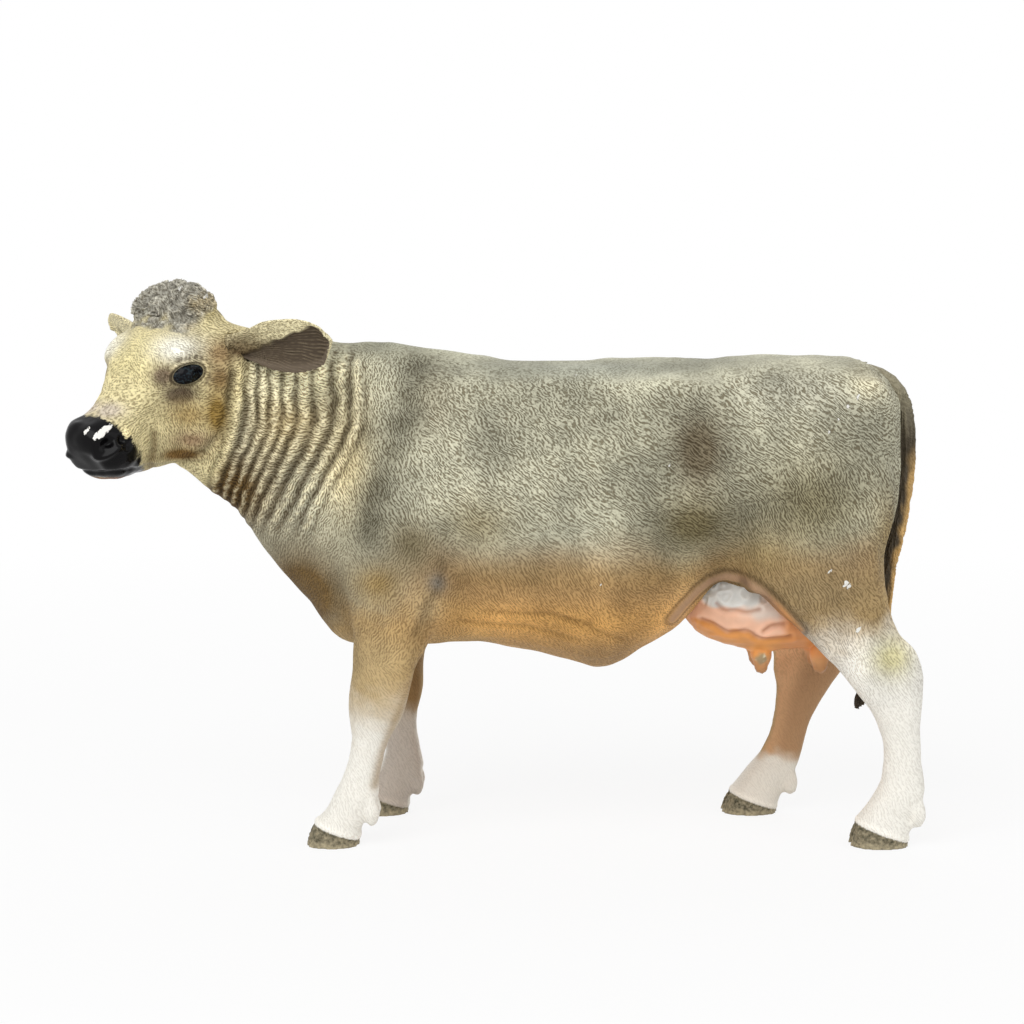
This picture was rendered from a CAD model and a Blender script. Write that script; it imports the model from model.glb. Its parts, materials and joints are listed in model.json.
"""Looks of a standing milk cow: a small moulded vinyl figure, engraved and sprayed.

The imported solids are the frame. The skins made here stand for them and carry the
folds, the curls, the wrinkles and the paint. Lengths are in millimetres from the
trunk's own datum unless a name says otherwise: x runs from the chest to the rump,
y to the cow's right, and z up from the soles. A place across and up is one in x and z.
"""

import json
import math

import bmesh
import bpy
import numpy as np
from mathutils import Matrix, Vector

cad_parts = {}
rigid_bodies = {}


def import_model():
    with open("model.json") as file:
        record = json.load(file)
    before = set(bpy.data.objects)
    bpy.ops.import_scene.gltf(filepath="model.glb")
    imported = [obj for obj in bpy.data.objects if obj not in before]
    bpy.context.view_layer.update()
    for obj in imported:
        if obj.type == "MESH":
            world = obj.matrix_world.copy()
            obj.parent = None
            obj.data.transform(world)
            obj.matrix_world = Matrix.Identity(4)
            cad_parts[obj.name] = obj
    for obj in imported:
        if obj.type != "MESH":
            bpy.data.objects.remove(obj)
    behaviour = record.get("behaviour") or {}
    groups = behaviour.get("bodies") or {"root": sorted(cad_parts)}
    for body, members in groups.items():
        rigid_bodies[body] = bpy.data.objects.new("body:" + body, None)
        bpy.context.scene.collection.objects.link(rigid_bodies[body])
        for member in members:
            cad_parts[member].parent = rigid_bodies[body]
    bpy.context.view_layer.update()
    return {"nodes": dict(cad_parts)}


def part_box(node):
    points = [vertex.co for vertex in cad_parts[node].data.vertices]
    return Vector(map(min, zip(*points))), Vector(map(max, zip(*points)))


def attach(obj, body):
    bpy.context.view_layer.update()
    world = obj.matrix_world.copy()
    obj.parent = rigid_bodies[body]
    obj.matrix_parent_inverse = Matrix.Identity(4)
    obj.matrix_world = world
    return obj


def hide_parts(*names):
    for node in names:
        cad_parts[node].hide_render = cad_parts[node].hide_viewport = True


for leftover in list(bpy.data.objects):
    bpy.data.objects.remove(leftover)
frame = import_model()

bl_info = {
    "name": "Milk cow figure",
    "version": (1, 0, 0),
    "blender": (4, 5, 0),
    "location": "View3D > Sidebar > Cow",
    "description": "Skins, paint and stage of a moulded milk cow figure",
    "category": "Object",
}

MM = 0.001
# The core's front end is this far along from the datum, which is over the chest's axis.
CORE_FRONT = -16.03
core_low, core_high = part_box("body_core")
DATUM = np.array((core_low[0] - CORE_FRONT * MM, (core_low[1] + core_high[1]) / 2, 0.0))

# The joint between neck and head, and the head's own axes at the poll.
JOINT_POINT = np.array((-43.0, -5.7, 67.7))
JOINT_FACING = np.array((-0.884, -0.357, 0.302))
JOINT_FACING /= np.linalg.norm(JOINT_FACING)
POLL = np.array((-53.0, -6.0, 82.65))
AIM = np.array((-0.437, -0.601, -0.669))
LEFT = np.array((0.809, -0.588, 0.0))
CROWN = np.array((-0.393, -0.541, 0.743))

# The parting surface of the halves in plan: it follows the turn of the neck.
PARTING = ((-76.0, -14.0), (-51.04, -7.0), (-46.48, -5.95), (-41.99, -4.06), (-37.0, -2.1),
           (-32.01, -0.7), (-28.0, 0.0), (84.0, 0.0))


def linear(hex_colour):
    """An sRGB hex colour as linear red, green and blue."""
    levels = [int(hex_colour[k:k + 2], 16) / 255 for k in (1, 3, 5)]
    return tuple(v / 12.92 if v <= 0.04045 else ((v + 0.055) / 1.055) ** 2.4 for v in levels)


def tone(name, use, hex_colour):
    """A colour that a user may change."""
    return bpy.props.FloatVectorProperty(name=name, description=use, default=linear(hex_colour),
                                         subtype='COLOR', min=0.0, max=1.0)


def span(name, use, millimetres):
    """A length that a user may change."""
    return bpy.props.FloatProperty(name=name, description=use, default=millimetres * MM,
                                   unit='LENGTH', subtype='DISTANCE', min=0.0, precision=5)


class CowSizes(bpy.types.PropertyGroup):
    """Sizes of what is carved and engraved in the figure."""
    fold_height: span("Neck fold height", "How far the neck's folds stand over their grooves", 0.62)
    curl_height: span("Curl height", "How far the poll's curls stand proud", 0.42)
    swell_height: span("Swell height", "Unevenness of the flanks", 0.16)
    rim_height: span("Udder rim height", "The roll of skin that arches over the udder", 0.45)
    crease_depth: span("Udder crease depth", "The wavy creases of the udder", 0.32)
    ear_hollow: span("Ear hollow depth", "How deep the shell of an ear is cut", 0.75)
    strand_height: span("Tail strand height", "Strands of hair along the tail", 0.18)
    fur_pitch: span("Fur pitch", "From one engraved hair line to the next", 0.43)
    fur_depth: span("Fur depth", "How deep the hair lines are engraved", 0.14)


class CowColours(bpy.types.PropertyGroup):
    """Paints of the figure."""
    hide: tone("Hide", "Olive grey of the flanks", "#b4b19b")
    belly: tone("Belly", "Tan of the belly", "#b08b5c")
    leg_tan: tone("Upper legs", "Tan over the knees and the hocks", "#b59a6b")
    leg_white: tone("Lower legs", "White under the knees and the hocks", "#f4f1e8")
    face: tone("Face", "Cream of the face", "#dacd9f")
    tuft: tone("Tuft", "Grey of the poll's curls", "#b3afa2")
    black: tone("Muzzle", "Gloss black of the muzzle", "#0b0a0b")
    iris: tone("Iris", "Near black of the eyes", "#06060a")
    eye: tone("Eye", "Mottle in the black of the eyes", "#26343a")
    horn_dark: tone("Hooves", "Dark olive of the hooves", "#4b483a")
    horn_pale: tone("Worn hooves", "Pale vinyl where the hooves have worn", "#c2b596")
    vinyl: tone("Bare vinyl", "White vinyl in the chips of the paint", "#f7f5ee")
    udder_pink: tone("Udder", "Pink of the udder", "#e3b699")
    udder_grey: tone("Udder patch", "Grey white sprayed on the udder", "#d3d5d1")
    udder_orange: tone("Udder edge", "Orange along the udder's low edge", "#d4924c")
    tail: tone("Tail", "Dark brown grey of the tail", "#574e41")
    core: tone("Core", "Unpainted plastic of the core", "#cfcdc4")
    paper: tone("Backdrop", "Paper under and behind the figure", "#f3f3f3")


def to_mm(points):
    """Places in the frame, in metres, as millimetres from the datum."""
    return (points - DATUM) / MM


def from_mm(points):
    """Millimetres from the datum as places in the frame, in metres."""
    return np.asarray(points) * MM + DATUM


def add_node(tree, kind, settings=None, **links):
    """A node with its settings, and its inputs by name, with _ for a space, or by number."""
    node = tree.nodes.new(kind)
    for key, value in (settings or {}).items():
        setattr(node, key, value)
    for key, value in links.items():
        place = int(key[1:]) if key[1:].isdigit() else key.replace("_", " ")
        socket = node.inputs[place]
        if isinstance(value, bpy.types.NodeSocket):
            tree.links.new(value, socket)
        else:
            socket.default_value = value
    return node


def ramp(low, high, value):
    """0 below low, 1 above high, and a smooth rise between."""
    share = np.clip((value - low) / (high - low), 0, 1)
    return share * share * (3 - 2 * share)


def hill(points, centre, radii):
    """1 at a centre, falling softly to nearly 0 at its radii."""
    reach = (points - np.array(centre)) / np.array(radii)
    return np.exp(-2.5 * (reach * reach).sum(axis=1))


def waver(points, size, seed):
    """A soft even wander between about -1 and 1, with hills about a size apart."""
    chance = np.random.default_rng(seed)
    total = np.zeros(len(points))
    for _ in range(9):
        way = chance.normal(size=points.shape[1])
        way /= np.linalg.norm(way)
        pace = 2 * math.pi / size * chance.uniform(0.45, 1.1)
        total += np.sin(points @ way * pace + chance.uniform(0, 2 * math.pi))
    return total / 3


def near_curve(points, stations):
    """How far points lie from a line drawn on the side of the figure, across and up."""
    flat = points[:, (0, 2)]
    nearest = np.full(len(points), 1e9)
    for start, end in zip(stations, stations[1:]):
        a, b = np.array(start), np.array(end)
        share = np.clip(((flat - a) @ (b - a)) / ((b - a) @ (b - a)), 0, 1)
        nearest = np.minimum(nearest, np.linalg.norm(flat - a - share[:, None] * (b - a), axis=1))
    return nearest


def rounded(stations):
    """A drawn line with its corners cut twice."""
    drawn = np.array(stations, dtype=float)
    for _ in range(2):
        cut = np.empty((2 * len(drawn) - 2, 2))
        cut[0::2] = 0.75 * drawn[:-1] + 0.25 * drawn[1:]
        cut[1::2] = 0.25 * drawn[:-1] + 0.75 * drawn[1:]
        drawn = np.vstack((drawn[:1], cut, drawn[-1:]))
    return drawn


def line(points, stations, width):
    """1 on a drawn line, falling softly to nothing beside it."""
    return np.exp(-(near_curve(points, stations) / width) ** 2)


def head_places(points):
    """Places along the head, up from its bridge line and out to its left."""
    reach = points - POLL
    return np.stack((reach @ AIM, reach @ CROWN, reach @ LEFT), axis=1)


def face_view(points):
    """Places across and up as the figure's left side shows them, the head's right side mirrored."""
    out = (points - POLL) @ LEFT
    mirrored = points - 2 * np.minimum(0, out)[:, None] * LEFT
    return mirrored[:, (0, 2)]


def turned_reach(flat, centre, half_length, half_width, tilt):
    """Places in a tilted oval, where 1 is its edge: along it, across it and from its centre."""
    angle = math.radians(tilt)
    across, up = (flat - np.array(centre)).T
    along = (across * math.cos(angle) + up * math.sin(angle)) / half_length
    aside = (up * math.cos(angle) - across * math.sin(angle)) / half_width
    return along, aside, np.hypot(along, aside)


def to_joint(points):
    """How far a point is on the head's side of the neck joint."""
    return (points - JOINT_POINT) @ JOINT_FACING


def mesh_arrays(mesh):
    """A mesh's vertices and its edges."""
    points = np.empty(len(mesh.vertices) * 3)
    mesh.vertices.foreach_get("co", points)
    edges = np.empty(len(mesh.edges) * 2, dtype=np.int64)
    mesh.edges.foreach_get("vertices", edges)
    return points.reshape(-1, 3), edges.reshape(-1, 2)


def places_of(piece):
    """A piece's vertices, in millimetres from the datum."""
    return to_mm(mesh_arrays(piece.data)[0])


def put_points(mesh, points):
    """Moves a mesh's vertices to new places."""
    mesh.vertices.foreach_set("co", points.ravel())
    mesh.update()


def normals_of(mesh):
    """A mesh's vertex normals."""
    normals = np.empty(len(mesh.vertices) * 3)
    mesh.vertex_normals.foreach_get("vector", normals)
    return normals.reshape(-1, 3)


def linked(name, bm):
    """A mesh object from a bmesh, which is used up."""
    mesh = bpy.data.meshes.new(name)
    bm.to_mesh(mesh)
    bm.free()
    made = bpy.data.objects.new(name, mesh)
    bpy.context.scene.collection.objects.link(made)
    return made


def joined_nodes(name, moves):
    """One loose object from copies of CAD nodes, each merged and moved a little."""
    bm = bmesh.new()
    for node, move in moves:
        part = bmesh.new()
        part.from_mesh(frame["nodes"][node].data)
        bmesh.ops.remove_doubles(part, verts=part.verts, dist=1e-6)
        bmesh.ops.translate(part, verts=part.verts, vec=Vector(move) * MM)
        mesh = bpy.data.meshes.new(node)
        part.to_mesh(mesh)
        part.free()
        bm.from_mesh(mesh)
        bpy.data.meshes.remove(mesh)
    return linked(name, bm)


def settled(piece):
    """Turns a piece's modifiers into its mesh."""
    depsgraph = bpy.context.evaluated_depsgraph_get()
    mesh = bpy.data.meshes.new_from_object(piece.evaluated_get(depsgraph))
    old = piece.data
    piece.modifiers.clear()
    piece.data = mesh
    mesh.name = piece.name
    bpy.data.meshes.remove(old)
    return piece


def discard(unwanted):
    """Removes an object and its mesh."""
    mesh = unwanted.data
    bpy.data.objects.remove(unwanted)
    bpy.data.meshes.remove(mesh)


def reskinned(piece, voxel):
    """Wraps a piece in an even skin of small faces."""
    wrap = piece.modifiers.new("wrap", 'REMESH')
    wrap.mode = 'VOXEL'
    wrap.voxel_size = voxel * MM
    wrap.adaptivity = 0
    return settled(piece)


def relaxed(piece, rounds, hold=None):
    """Smooths a skin and keeps its volume; hold gives 1 where a vertex stays."""
    points, edges = mesh_arrays(piece.data)
    count = len(points)
    a, b = edges[:, 0], edges[:, 1]
    degree = np.bincount(a, minlength=count) + np.bincount(b, minlength=count)
    give = np.ones((count, 1)) if hold is None else (1 - hold(to_mm(points)))[:, None]
    for k in range(rounds * 2):
        total = np.empty_like(points)
        for axis in range(3):
            total[:, axis] = (np.bincount(a, points[b, axis], count)
                              + np.bincount(b, points[a, axis], count))
        step = 0.5 if k % 2 == 0 else -0.52
        points += give * step * (total / degree[:, None] - points)
    put_points(piece.data, points)
    return piece


def carved(piece, relief):
    """Moves a skin along its normals by a relief in millimetres, and gives the relief."""
    points, _ = mesh_arrays(piece.data)
    normals = normals_of(piece.data)
    rise = relief(to_mm(points), normals)
    put_points(piece.data, points + normals * rise[:, None] * MM)
    return rise


def keep_side(piece, place, facing):
    """Cuts a closed skin with a plane, keeps the side that it faces and closes the cut."""
    bm = bmesh.new()
    bm.from_mesh(piece.data)
    cut = bmesh.ops.bisect_plane(bm, geom=bm.verts[:] + bm.edges[:] + bm.faces[:], dist=1e-7,
                                 plane_co=Vector(place), plane_no=Vector(facing),
                                 clear_inner=True)
    rim = [e for e in cut["geom_cut"] if isinstance(e, bmesh.types.BMEdge)]
    bmesh.ops.holes_fill(bm, edges=rim, sides=0)
    bm.to_mesh(piece.data)
    bm.free()
    return piece


def duplicate(piece, name):
    """A second object with its own mesh."""
    made = bpy.data.objects.new(name, piece.data.copy())
    bpy.context.scene.collection.objects.link(made)
    return made


def sheared(piece, way):
    """Slides a skin across so that the parting surface lies flat, or back again."""
    points, _ = mesh_arrays(piece.data)
    plan = np.array(PARTING)
    points[:, 1] -= way * np.interp(to_mm(points)[:, 0], plan[:, 0], plan[:, 1]) * MM
    put_points(piece.data, points)
    return piece


def store(mesh, name, kind, values):
    """Keeps values on a mesh's vertices for its material to read."""
    layer = mesh.attributes.new(name, kind, 'POINT')
    field = {'FLOAT': "value", 'FLOAT_VECTOR': "vector", 'FLOAT_COLOR': "color"}[kind]
    layer.data.foreach_set(field, np.ascontiguousarray(values, dtype=np.float32).ravel())


def sole_hold(points):
    """Soles stay flat, and hooves and dewclaws stay crisp."""
    return 1 - 0.4 * ramp(0.2, 1.0, points[:, 2]) - 0.6 * ramp(5.5, 9.0, points[:, 2])


def muzzle_free(points):
    """Only the muzzle is free to move."""
    return 1 - ramp(15.5, 19.0, head_places(points)[:, 0])


# Where a form is pushed a little: middle across and up, radii, side (0 for both) and
# the push across and up.
PUSHES = (
    ("front of the tuft", (-57.2, 81.5), (4.2, 5.0), 0, (-1.25, 0.0)),
    ("back of the tuft", (-45.4, 83.0), (3.0, 4.0), 0, (0.8, 0.1)),
    ("brow", (-62.1, 75.7), (3.0, 5.0), 0, (-0.6, 0.0)),
    ("top of the nose", (-65.2, 65.6), (2.6, 2.2), 0, (-0.3, 0.4)),
    ("front of the nose", (-67.6, 61.5), (2.8, 4.2), 0, (0.7, 0.0)),
    ("lower lip", (-60.2, 56.4), (3.5, 1.6), 0, (0.0, 0.3)),
    ("chin", (-54.2, 57.2), (4.6, 2.4), 0, (0.0, 0.9)),
    ("angle of the jaw", (-50.3, 59.2), (2.4, 2.0), 0, (0.0, -0.6)),
    ("far arm", (-13.4, 25.0), (3.0, 8.0), 1, (-0.9, 0.0)),
    ("far shin", (42.4, 20.5), (3.4, 8.5), 1, (-1.0, 0.0)),
    ("hock", (61.4, 30.2), (3.0, 4.0), -1, (0.6, 0.2)),
    ("hind fetlock", (53.6, 7.9), (3.0, 4.5), -1, (0.5, 0.0)),
    ("hind shank", (61.9, 19.2), (2.6, 7.0), -1, (-0.4, 0.0)),
    ("back of the thigh", (57.8, 45.5), (3.6, 11.0), -1, (-1.6, 0.0)),
    ("arch over the udder", (35.9, 42.0), (5.0, 4.2), -1, (-0.5, -2.5)),
)


def pushed(piece):
    """Pushes forms of a skin across and up."""
    points, _ = mesh_arrays(piece.data)
    places = to_mm(points)
    moved = np.zeros((len(points), 2))
    for _, place, radii, side, push in PUSHES:
        share = hill(places[:, (0, 2)], place, radii)
        if side:
            share = share * ramp(-1.0, 2.0, places[:, 1] * side)
        moved += share[:, None] * np.array(push)
    points[:, 0] += moved[:, 0] * MM
    points[:, 2] += moved[:, 1] * MM
    put_points(piece.data, points)
    return piece


# How far the solids are moved into each other, in millimetres, so that they fuse.
NODE_SHIFT = 0.17


def fused_cow(name, voxel, rounds, hold):
    """The surface of trunk, legs, neck and head as one skin, before any carving."""
    nodes = (("body_left_half", (0, NODE_SHIFT, 0)), ("body_right_half", (0, -NODE_SHIFT, 0)),
             ("body_core", (0, 0, 0)), ("head", -JOINT_FACING * 2 * NODE_SHIFT))
    piece = joined_nodes(name, nodes)
    reskinned(piece, voxel)
    return pushed(relaxed(piece, rounds, hold))


# Where the neck's folds crest at the level of their top, and how they lean below it.
FOLD_CRESTS = (-43.4, -41.2, -39.1, -37.4, -35.6, -33.8, -31.6, -28.95, -26.1, -23.6, -21.0)
FOLD_TOP = 66.0
FOLD_LEAN = 0.55


def neck_folds(points, facing):
    """Folds where the neck bends to its left: full on the left and faint on the right."""
    drop = np.maximum(FOLD_TOP - points[:, 2], 0)
    across = points[:, 0] + FOLD_LEAN * drop * drop / (drop + 4.0)
    across += 0.26 * waver(points, 9.0, 3) + 0.14 * waver(points, 2.6, 4)
    phase = np.interp(across, FOLD_CRESTS, np.arange(len(FOLD_CRESTS)))
    crest = (0.5 + 0.5 * np.cos(2 * math.pi * phase)) ** 0.7
    mask = ramp(-44.5, -41.0, across) * (1 - ramp(-23.4, -21.4, across))
    mask *= ramp(45, 53, points[:, 2]) * (1 - 0.85 * ramp(72.5, 76.0, points[:, 2]))
    patchy = 0.92 + 0.20 * waver(points, 5.0, 6)
    beads = 0.15 * waver(points * (0.6, 1, 1.5), 1.2, 7) * crest
    near = 0.12 + 0.88 * ramp(0.1, -0.55, facing)
    return (crest + beads - 0.62) * mask * patchy * near


def eye_reach(points):
    """Places in the oval of the eye, which isn't on the nape behind it."""
    along, above, reach = turned_reach(face_view(points), (-48.5, 72.35), 2.25, 1.42, 20)
    return along, above, reach + 9 * ramp(6, 3, head_places(points)[:, 0])


def nostril_reach(points):
    """Places in the oval of the nostril."""
    return turned_reach(face_view(points), (-59.0, 62.6), 1.55, 0.95, 40)


# The groove behind the jaw and under the chin, across and up.
JAW_GROOVE = ((-42.0, 72.4), (-43.0, 67.2), (-44.0, 63.4), (-46.8, 60.6), (-49.5, 59.6))
# The recess behind the upper lip, across and up.
LIP_GROOVE = ((-53.4, 63.6), (-53.3, 61.8), (-53.7, 60.0), (-54.6, 58.2))


def tuft_share(points):
    """1 on the curls of the poll and 0 on the face."""
    places = head_places(points)
    edge = places[:, 1] + 0.45 * waver(points, 2.5, 5) + 1.8 * ramp(3.0, 6.0, places[:, 2])
    return ramp(-1.5, 0.0, edge) * ramp(5.4, 4.2, places[:, 0] + 0.3 * waver(points, 2.0, 9))


def face_relief(points, facing, curl_height):
    """Eyes with their lids, nostrils, the line of the mouth and the curls of the tuft."""
    places = head_places(points)
    face = ramp(1, 3, to_joint(points))
    _, above, reach = eye_reach(points)
    rise = 0.60 * np.clip(1 - reach * reach, 0, 1) - 0.20 * np.exp(-((reach - 1.03) / 0.12) ** 2)
    lids = 0.8 + 0.5 * waver(points, 1.1, 19)
    rise += (0.12 + 0.10 * np.clip(above, -1, 1)) * lids * np.exp(-((reach - 1.30) / 0.16) ** 2)
    rise -= 0.12 * lids * np.exp(-((reach - 1.62) / 0.16) ** 2) * ramp(-0.4, 0.4, above)
    _, below, reach = nostril_reach(points)
    rise -= 1.05 * np.exp(-1.5 * reach ** 2.4)
    rise += 0.40 * np.exp(-((reach - 1.70) / 0.36) ** 2) * ramp(0.7, -0.6, below)
    flat = face_view(points)
    mouth = flat[:, 1] - 57.9 - 0.08 * (flat[:, 0] + 62)
    rise -= 0.30 * np.exp(-(mouth / 0.3) ** 2) * ramp(14, 18, places[:, 0])
    twist = waver(points, 2.6, 11) + 0.7 * waver(points, 1.5, 12)
    curls = 0.55 - 1.5 * np.abs(np.sin(2.1 * twist))
    rise += curl_height / MM * np.maximum(curls, -0.75) * tuft_share(points)
    lip = line(points, LIP_GROOVE, 0.55) * ramp(0.3, -0.3, facing)
    rise += 0.05 * waver(points, 2.4, 13) - 0.25 * lip
    return rise * face


# The rim of skin that arches over the udder, across and up.
UDDER_RIM = ((24.6, 34.8), (26.1, 36.9), (28.3, 39.2), (30.3, 40.6), (32.8, 41.3), (35.4, 40.9),
             (37.7, 39.5), (40.0, 37.3), (42.3, 34.8), (43.6, 33.3))
# A crease at the forearm's root, folds low on the belly, the hollow behind the shoulder
# blade and the short ribs' edge.
ARM_CREASE = ((-10.5, 44.0), (-11.2, 40.0), (-13.0, 36.0), (-14.5, 33.0))
BELLY_FOLDS = (((-8, 34.6), (2, 34.2), (10, 32.0)), ((-4, 36.6), (6, 36.4), (12, 34.8)),
               ((8, 35.6), (14, 33.2), (18, 31.4)))
BLADE_EDGE = ((-14.7, 73.0), (-16.0, 66.0), (-18.8, 58.5), (-21.0, 52.5), (-22.2, 48.5))
RIB_EDGE = ((13.9, 70.4), (20.0, 71.4), (28.2, 71.2))


def rim_reach(points):
    """How far a point is from the udder's rim, which is cut short by the far thigh."""
    far = ramp(0, 3, points[:, 1]) * ramp(35.5, 38.5, points[:, 0])
    return near_curve(points, UDDER_RIM) + 9 * far


def body_relief(points, normals, sizes):
    """Soft unevenness, the udder's rim, creases and the low folds of the belly."""
    out = ramp(0.25, 0.75, np.abs(normals[:, 1]))
    high = ramp(18, 30, points[:, 2])
    swell = waver(points, 11.0, 31) + 0.45 * waver(points, 4.5, 32)
    rise = sizes.swell_height / MM * swell * high
    rim = rim_reach(points)
    rise += sizes.rim_height / MM * np.exp(-(rim / 0.6) ** 4) * out
    rise -= 0.22 * np.exp(-((rim - 1.15) / 0.4) ** 2) * out
    rise -= 0.30 * line(points, ARM_CREASE, 0.8) * out
    rise -= 0.25 * line(points, BLADE_EDGE, 2.2) * out
    rise += 0.14 * line(points, RIB_EDGE, 1.2)
    for fold in BELLY_FOLDS:
        rise -= 0.26 * line(points, fold, 0.45) * out
    return rise


# Soles: middle across and along the ground, and half the hoof's length.
HOOVES = ((-27.56, -10.6, 4.2), (-21.05, 10.6, 4.2), (56.48, -11.0, 4.65), (38.88, 11.0, 4.65))


def hoof_level(points):
    """How far a point is below its hoof's hairline."""
    level = np.full(len(points), -9.0)
    for x, y, half in HOOVES:
        near = np.hypot(points[:, 0] - x, points[:, 1] - y) < half * 2
        hairline = 3.9 - 0.36 * (points[:, 0] - x + half)
        level = np.where(near, hairline - points[:, 2], level)
    return level


def hoof_relief(points):
    """The hoof stands a little inside its hairline and has faint rings."""
    level = hoof_level(points)
    rings = 0.04 * np.sin(level * 2 * math.pi / 0.8)
    return (ramp(-0.1, 0.25, level) * (rings - 0.16)
            + 0.12 * np.exp(-((level + 0.5) / 0.4) ** 2)) * ramp(0.05, 0.5, points[:, 2])


def cow_relief(sizes):
    """The carving of the whole skin."""
    def relief(points, normals):
        body = ramp(2, -2, to_joint(points))
        folds = sizes.fold_height / MM * neck_folds(points, normals[:, 1])
        jaw = 0.45 * line(points, JAW_GROOVE, 0.6) * ramp(0.0, -0.4, normals[:, 1])
        return (folds + body_relief(points, normals, sizes) * body - jaw
                + face_relief(points, normals[:, 1], sizes.curl_height) + hoof_relief(points))
    return relief


# Sprays in the order they were laid on: place, radii, colour and strength. The
# sides are alike.
BODY_SPRAYS = (
    ("back", (15, 0, 78), (60, 12, 5), "#a9ab98", 0.9),
    ("loin", (10, -8, 73.5), (28, 9, 3.4), "#96978a", 0.7),
    ("low barrel", (10, -14, 43), (30, 10, 5), "#8d7444", 0.6),
    ("underbelly", (8, -8, 35), (34, 30, 6), "#e3af68", 0.9),
    ("flank low", (27, -12, 50), (11, 40, 8), "#6d6448", 0.8),
    ("behind the elbow", (-5, -16, 50), (8, 40, 6), "#9a8f70", 0.6),
    ("barrel", (16, -16, 60), (14, 40, 9), "#a3a08b", 0.5),
    ("brisket", (-31, 0, 39), (14, 30, 13), "#6a5431", 1.0),
    ("throat", (-44, -6, 55), (12, 20, 9), "#73582f", 1.0),
    ("neck", (-34, -4, 66), (12, 30, 12), "#a89770", 0.8),
    ("crest", (-30, 0, 80), (12, 16, 7), "#aaa893", 0.8),
    ("upper neck", (-33, -6, 71.5), (10, 40, 6), "#ded8b6", 0.8),
    ("shoulder tan", (-25, -12, 60), (6, 40, 13), "#d2c49c", 0.8),
    ("behind the shoulder", (-12, -16, 68), (6, 40, 8), "#a39d87", 0.6),
    ("low shoulder", (-15, -16, 47), (6, 40, 6), "#857a5e", 0.7),
    ("forearm", (-20, -14, 41), (6, 8, 5), "#a08450", 0.7),
    ("elbow", (-13.0, -12, 37.5), (4, 40, 5), "#dfc190", 0.8),
    ("grey of the elbow", (-11.3, -12, 41), (2.4, 40, 2.6), "#90908a", 0.5),
    ("flank hollow", (28, -14, 61), (6, 10, 9), "#7c715b", 0.9),
    ("thigh shade", (45, -12, 53), (15, 40, 12), "#7f785e", 0.75),
    ("thigh front", (38, -12, 45), (9, 40, 7), "#ab9463", 0.45),
    ("thigh rear", (57, -10, 47), (5, 14, 11), "#8a7956", 0.8),
    ("thigh low", (46, -12, 40), (14, 14, 8), "#9d8763", 0.8),
    ("back of the hock", (57.5, -11, 29.5), (5.0, 40, 4.6), "#eae2b2", 0.8),
    ("rump", (44, -8, 70), (18, 40, 6), "#bdbaa6", 0.7),
    ("pin bone", (54, -8, 71), (4.5, 40, 4.0), "#ddd6b8", 0.8),
)
# Sprays of the face, across and up.
FACE_SPRAYS = (
    ("forehead", (-56.5, 75.0), (6.0, 6.5), "#e6d9a4", 0.9),
    ("bridge", (-57.5, 69.5), (5.0, 4.5), "#e2d5a5", 0.8),
    ("bridge end", (-59.5, 67.2), (3.6, 1.8), "#cfc2ae", 0.9),
    ("white over the eye", (-50.0, 76.2), (5.6, 3.2), "#fbf8e9", 0.8),
    ("temple", (-44.0, 75.4), (3.4, 3.4), "#a98f68", 0.8),
    ("root of the ear", (-41.0, 76.4), (3.6, 3.0), "#68573e", 1.0),
    ("behind the eye", (-43.9, 71.6), (2.8, 3.8), "#8f7752", 0.8),
    ("before the eye", (-52.0, 72.2), (2.8, 2.4), "#85755f", 0.9),
    ("below the eye", (-49.6, 69.2), (3.8, 2.6), "#5f5344", 1.0),
    ("cheek", (-48.4, 66.2), (5.0, 3.4), "#b39c6b", 0.8),
    ("back of the cheek", (-44.3, 66.4), (2.8, 5.6), "#93783f", 0.9),
    ("under the lip", (-57.6, 56.9), (8.0, 1.3), "#8a5a34", 0.9),
    ("low cheek", (-48.2, 62.4), (4.6, 2.2), "#a58c6c", 0.8),
    ("jaw shade", (-50.0, 60.2), (5.0, 1.5), "#7f6238", 1.0),
    ("side of the muzzle", (-53.2, 61.5), (1.6, 2.8), "#c3b88f", 0.6),
)


def spray(colour, places, sprays):
    """Lays sprays over a coat."""
    for _, place, radii, tint, strength in sprays:
        share = np.minimum(1, strength * 1.4 * hill(places, place, radii))[:, None]
        colour += (np.array(linear(tint)) - colour) * share
    return colour


def washed_folds(points, facing, colour):
    """A dark wash in the grooves of the neck, and a pale dry coat on its folds."""
    level = neck_folds(points, facing)
    level += 0.16 * waver(points, 0.9, 17) * ramp(0.0, 0.12, np.abs(level))
    colour = over(colour, linear("#5b492d"), ramp(0.02, -0.50, level) * 0.62)
    return over(colour, linear("#ded4b2"), ramp(0.05, 0.40, level) * 0.50)


def coat(points, colour):
    """One colour all over."""
    return np.tile(np.array(colour), (len(points), 1))


def over(colour, tint, share):
    """A coat with a second colour over it where its share is 1."""
    return colour + (np.array(tint) - colour) * share[:, None]


# The tan line down the near foreleg's tendon, across and up.
TENDON = ((-15.6, 25.0), (-17.8, 19.5), (-19.6, 15.0), (-21.0, 9.5))
# Where each leg turns tan and then white: its side, fore or hind, and the levels.
LEG_FADES = (
    (-1, "fore", 41, 34, 27, 14),
    (1, "fore", 38, 32, 20, 13),
    (-1, "hind", 46, 38, 38, 28),
    (1, "hind", 40, 34, 11.5, 8.0),
)


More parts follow.
